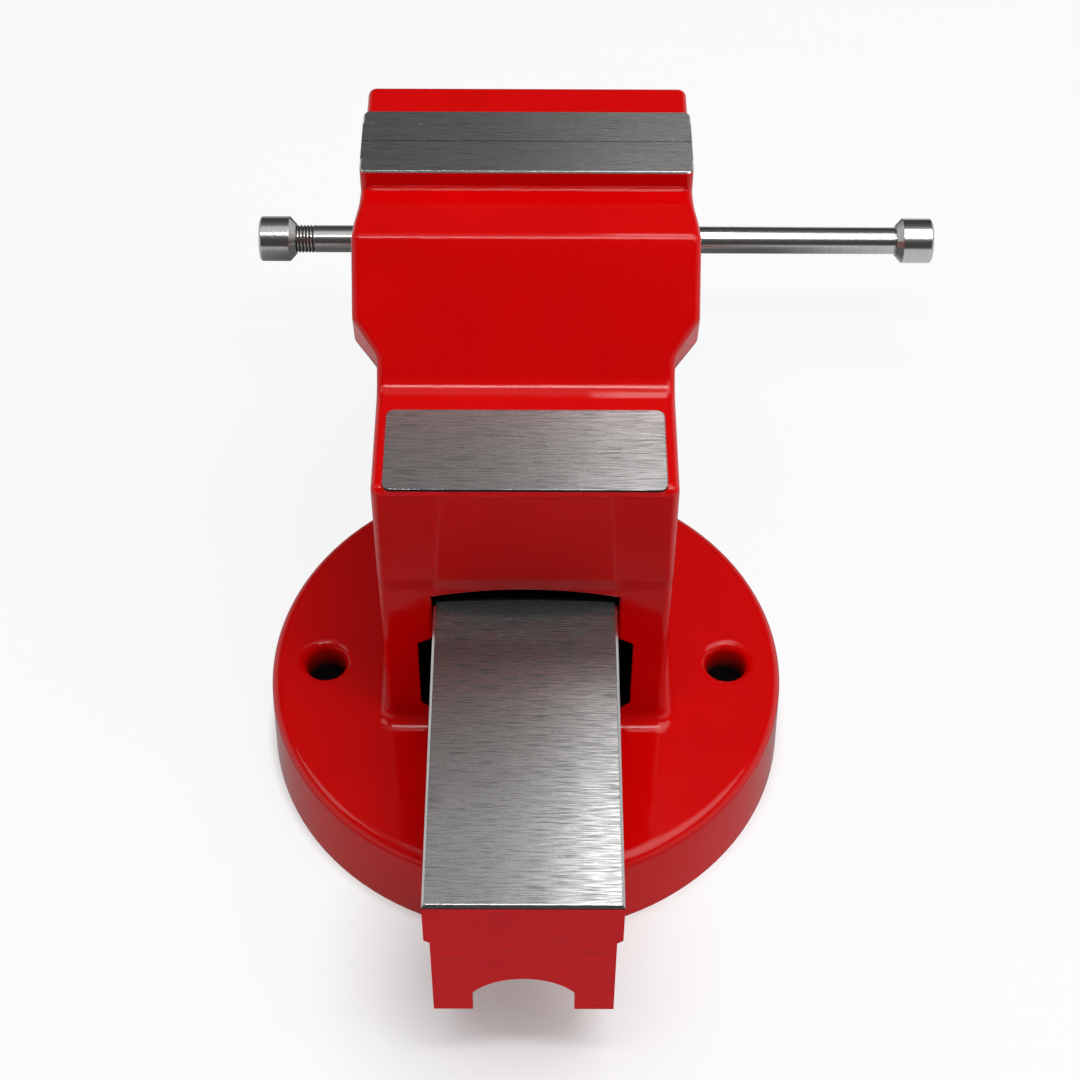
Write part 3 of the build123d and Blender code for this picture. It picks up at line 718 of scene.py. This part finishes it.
def cross_cut_plate(node, side, body):
    """A jaw plate with its working face towards side (1 for +Y, -1 for -Y)."""
    low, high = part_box(node)
    front = high[1] if side > 0 else low[1]
    back = low[1] if side > 0 else high[1]
    columns = round((high[0] - low[0]) / cell) - rim_cells
    rows = round((high[2] - low[2]) / cell) - rim_cells
    left = (low[0] + high[0] - columns * cell) / 2
    foot = (low[2] + high[2] - rows * cell) / 2
    corners = []
    for row in range(rows + 1):
        for column in range(columns + 1):
            inside = 0 < row < rows and 0 < column < columns
            sunk = groove if inside and (row + column) % 2 else 0.0
            corners.append((left + column * cell, front - side * sunk, foot + row * cell))
    faces = []
    wide = columns + 1
    for row in range(rows):
        for column in range(columns):
            a = row * wide + column
            b, c, d = a + 1, a + wide + 1, a + wide
            if (row + column) % 2:
                faces += [(a, b, c), (a, c, d)]
            else:
                faces += [(b, c, d), (b, d, a)]
    outer = len(corners)
    for y in (front, back):
        corners += [(low[0], y, low[2]), (high[0], y, low[2])]
        corners += [(high[0], y, high[2]), (low[0], y, high[2])]
    bottom = list(range(wide))
    top = [rows * wide + column for column in range(wide)]
    start = [row * wide for row in range(rows + 1)]
    end = [row * wide + columns for row in range(rows + 1)]
    faces.append([outer, outer + 1] + bottom[::-1])
    faces.append([outer + 1, outer + 2] + end[::-1])
    faces.append([outer + 2, outer + 3] + top)
    faces.append([outer + 3, outer] + start)
    for first, second in ((0, 1), (1, 2), (2, 3), (3, 0)):
        faces.append((outer + first, outer + second, outer + 4 + second, outer + 4 + first))
    faces.append((outer + 4, outer + 5, outer + 6, outer + 7))
    plate = new_piece(node + "_cut", corners, faces, jaw_steel, body, 20)
    drill_plate(plate, front, back, side, (low[2] + high[2]) / 2)
    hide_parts(node)


cross_cut_plate("fixed_jaw_plate", 1, "vise_body")
cross_cut_plate("moving_jaw_plate", -1, "moving_jaw")

# %% [markdown]
# Behind each jaw plate stands a ridge, and on the real casting a soft hollow leads from the
# shoulder up to it. It is a small thing, but it catches a line of light across the whole vise.
# We sweep a quarter-circle hollow along the foot of the ridge and let it shrink away at its ends.

# %% hollows at the foot of the ridges
shoulder_z = 0.1780
ridge_back = 0.06564
ridge_front = 0.09434
hollow_depth = 0.0004
hollow_bends = 8
hollow_end = [(0.0478, 0.0003), (0.0475, 0.0007), (0.0468, 0.0010), (0.0455, 0.0011)]


def ridge_hollow(name, foot_y, away, body):
    """A concave strip along X at the foot of a ridge; away is the side that the shoulder lies on."""
    inner_y = foot_y - away * hollow_depth
    below_z = shoulder_z - hollow_depth
    stations = [(-x, size) for x, size in hollow_end]
    stations += hollow_end[::-1]
    corners = []
    faces = []
    for x, size in stations:
        corners += [(x, inner_y, below_z), (x, foot_y + away * size, below_z)]
        for bend in range(hollow_bends + 1):
            angle = math.pi / 2 * bend / hollow_bends
            across = size * (1 - math.sin(angle))
            rise = size * (1 - math.cos(angle))
            corners.append((x, foot_y + away * across, shoulder_z + rise))
        corners.append((x, inner_y, shoulder_z + size))
    width = hollow_bends + 4
    for station in range(len(stations) - 1):
        here = station * width
        there = here + width
        for step in range(width):
            after = (step + 1) % width
            faces.append((here + step, here + after, there + after, there + step))
    faces.append(list(range(width)))
    faces.append([(len(stations) - 1) * width + step for step in range(width)])
    new_piece(name, corners, faces, red_enamel, body, 50)


ridge_hollow("fixed_ridge_hollow", ridge_back, -1, "vise_body")
ridge_hollow("moving_ridge_hollow", ridge_front, 1, "moving_jaw")

# %% [markdown]
# The vise stands on a plain white floor, a large square.
# A floor under soft light is matt, so it is rough and hardly shines.

# %% the floor
floor_reach = 3
floor_mesh = bpy.data.meshes.new("floor")
floor_corners = [(-floor_reach, -floor_reach, 0), (floor_reach, -floor_reach, 0)]
floor_corners += [(floor_reach, floor_reach, 0), (-floor_reach, floor_reach, 0)]
floor_mesh.from_pydata(floor_corners, [], [(0, 1, 2, 3)])
floor = bpy.data.objects.new("floor", floor_mesh)
scene.collection.objects.link(floor)
floor_finish, floor_tree, floor_shader = new_finish("white_floor")
floor_shader.inputs["Base Color"].default_value = (0.93, 0.93, 0.93, 1)
floor_shader.inputs["Roughness"].default_value = 0.9
floor_shader.inputs["Specular IOR Level"].default_value = 0.1
floor_mesh.materials.append(floor_finish)
print("floor:", floor.name)

# %% [markdown]
# In the shade of the vise and at a distance a white floor would turn grey, so it glows a little,
# but only for rays that come straight from the camera: the Light Path node tells the kinds of ray
# apart. The glow stops under the base and fades under the slide's end, where the photograph has
# its shadow. Far away it is complete, so that the floor's edge doesn't show against the backdrop.
# Mirrors see a second, weaker glow, which is strongest at both sides, as if pale cards lay there.
# It draws the lines on the upright edges.

# %% the floor's glow
near_white = (0.985, 0.985, 0.985, 1)
under_slide = (0, -0.10, 0)


def distance_from(tree, point):
    """How far a place on the surface lies from this point, in metres."""
    place = tree.nodes.new("ShaderNodeTexCoord")
    gap = tree.nodes.new("ShaderNodeVectorMath")
    gap.operation = "DISTANCE"
    gap.inputs[1].default_value = point
    tree.links.new(place.outputs["Object"], gap.inputs[0])
    return gap.outputs["Value"]


def unsigned(tree, source):
    """A number without its sign."""
    node = tree.nodes.new("ShaderNodeMath")
    node.operation = "ABSOLUTE"
    tree.links.new(source, node.inputs[0])
    return node.outputs[0]


def joined(tree, operation, first, second):
    """Two numbers from the nodes, added, multiplied or compared."""
    node = tree.nodes.new("ShaderNodeMath")
    node.operation = operation
    tree.links.new(first, node.inputs[0])
    tree.links.new(second, node.inputs[1])
    return node.outputs[0]


def glow_over(tree, under, amount, strength=None):
    """Mixes a white glow over a shader; its strength is 1 unless one is given."""
    glow = tree.nodes.new("ShaderNodeEmission")
    glow.inputs["Color"].default_value = near_white
    if strength is not None:
        tree.links.new(strength, glow.inputs["Strength"])
    blend = tree.nodes.new("ShaderNodeMixShader")
    tree.links.new(amount, blend.inputs["Fac"])
    tree.links.new(under, blend.inputs[1])
    tree.links.new(glow.outputs["Emission"], blend.inputs[2])
    return blend.outputs["Shader"]


rays = floor_tree.nodes.new("ShaderNodeLightPath")
from_base = distance_from(floor_tree, (0, 0, 0))
from_slide = distance_from(floor_tree, under_slide)
from_middle = unsigned(floor_tree, along_axis(floor_tree, "X"))
off_base = between(floor_tree, from_base, low=0.0, high=0.87, start=0.082, end=0.088)
off_slide = between(floor_tree, from_slide, low=0.22, high=1.0, start=0.02, end=0.07)
in_light = joined(floor_tree, "MULTIPLY", off_base, off_slide)
far_off = between(floor_tree, from_base, low=0.0, high=0.13, start=0.40, end=1.3)
white = joined(floor_tree, "ADD", in_light, far_off)
to_camera = joined(floor_tree, "MULTIPLY", rays.outputs["Is Camera Ray"], white)
seen = glow_over(floor_tree, floor_shader.outputs["BSDF"], to_camera)
near_rim = between(floor_tree, from_base, low=0.30, high=0.15, start=0.105, end=0.135)
at_sides = between(floor_tree, from_middle, low=0.0, high=0.75, start=0.085, end=0.15)
pale_cards = joined(floor_tree, "MAXIMUM", near_rim, at_sides)
mirrored = glow_over(floor_tree, seen, rays.outputs["Is Glossy Ray"], pale_cards)
floor_tree.links.new(mirrored, floor_tree.nodes["Material Output"].inputs["Surface"])
print("floor glow:", floor_finish.name)

# %% [markdown]
# A product photographer would hang soft boxes round the vise and keep most of the room dim, so
# that steel shows clear dark and bright bands. We do the same with area lamps. A narrow strip
# overhead draws the thin lines of light along the edges, a large box on the right gives most of
# the light, a narrow one behind it brightens the right ends of the ground faces, and a small one
# on the left opens the shadows.

# %% lamps
def soft_box(name, place, aim, width, height, radiance):
    """A rectangular lamp that gives this much light from each point of its face."""
    lamp = bpy.data.lights.new(name, "AREA")
    lamp.shape = "RECTANGLE"
    lamp.size = width
    lamp.size_y = height
    lamp.energy = radiance * math.pi * width * height
    box = bpy.data.objects.new(name, lamp)
    scene.collection.objects.link(box)
    box.location = place
    box.rotation_euler = (Vector(aim) - Vector(place)).to_track_quat("-Z", "Y").to_euler()
    print(name, round(lamp.energy, 1), "W")


soft_box("strip_box", (0.06, -0.30, 1.14), (0.06, -0.24, 0), width=0.7, height=0.09, radiance=19.0)
soft_box("main_box", (0.55, -0.16, 1.14), (0.05, 0, 0.10), width=1.0, height=0.95, radiance=2.6)
soft_box("right_box", (0.105, 0.33, 1.05), (0.105, 0.33, 0), width=0.11, height=0.44, radiance=5.2)
soft_box("left_box", (-0.80, 0.05, 0.95), (0, 0, 0.08), width=0.5, height=0.5, radiance=2.0)

# %% [markdown]
# The world is the room: dim walls, a brighter ceiling, and pale side walls low down. A world reads
# the direction of each ray, so its height runs from 0 at the horizon to 1 straight above. To the
# camera alone the room is plain white, as a backdrop would be.

# %% the room
room = bpy.data.worlds.new("room")
scene.world = room
room.use_nodes = True
room_tree = room.node_tree
room_light = room_tree.nodes["Background"]
room_light.inputs["Color"].default_value = near_white
room_rays = room_tree.nodes.new("ShaderNodeLightPath")
height = along_axis(room_tree, "Z", "Generated")
sideways = unsigned(room_tree, along_axis(room_tree, "X", "Generated"))
walls = between(room_tree, height, low=0.07, high=0.15, start=0.60, end=0.88)
ceiling = between(room_tree, height, low=0.0, high=0.62, start=0.90, end=0.97)
low_down = between(room_tree, height, low=1.0, high=0.0, start=0.25, end=0.45)
beside = between(room_tree, sideways, low=0.0, high=0.60, start=0.50, end=0.75)
side_walls = joined(room_tree, "MULTIPLY", beside, low_down)
above = joined(room_tree, "ADD", walls, ceiling)
all_round = joined(room_tree, "ADD", above, side_walls)
strength = joined(room_tree, "MAXIMUM", all_round, room_rays.outputs["Is Camera Ray"])
room_tree.links.new(strength, room_light.inputs["Strength"])
print("room light:", room.name)
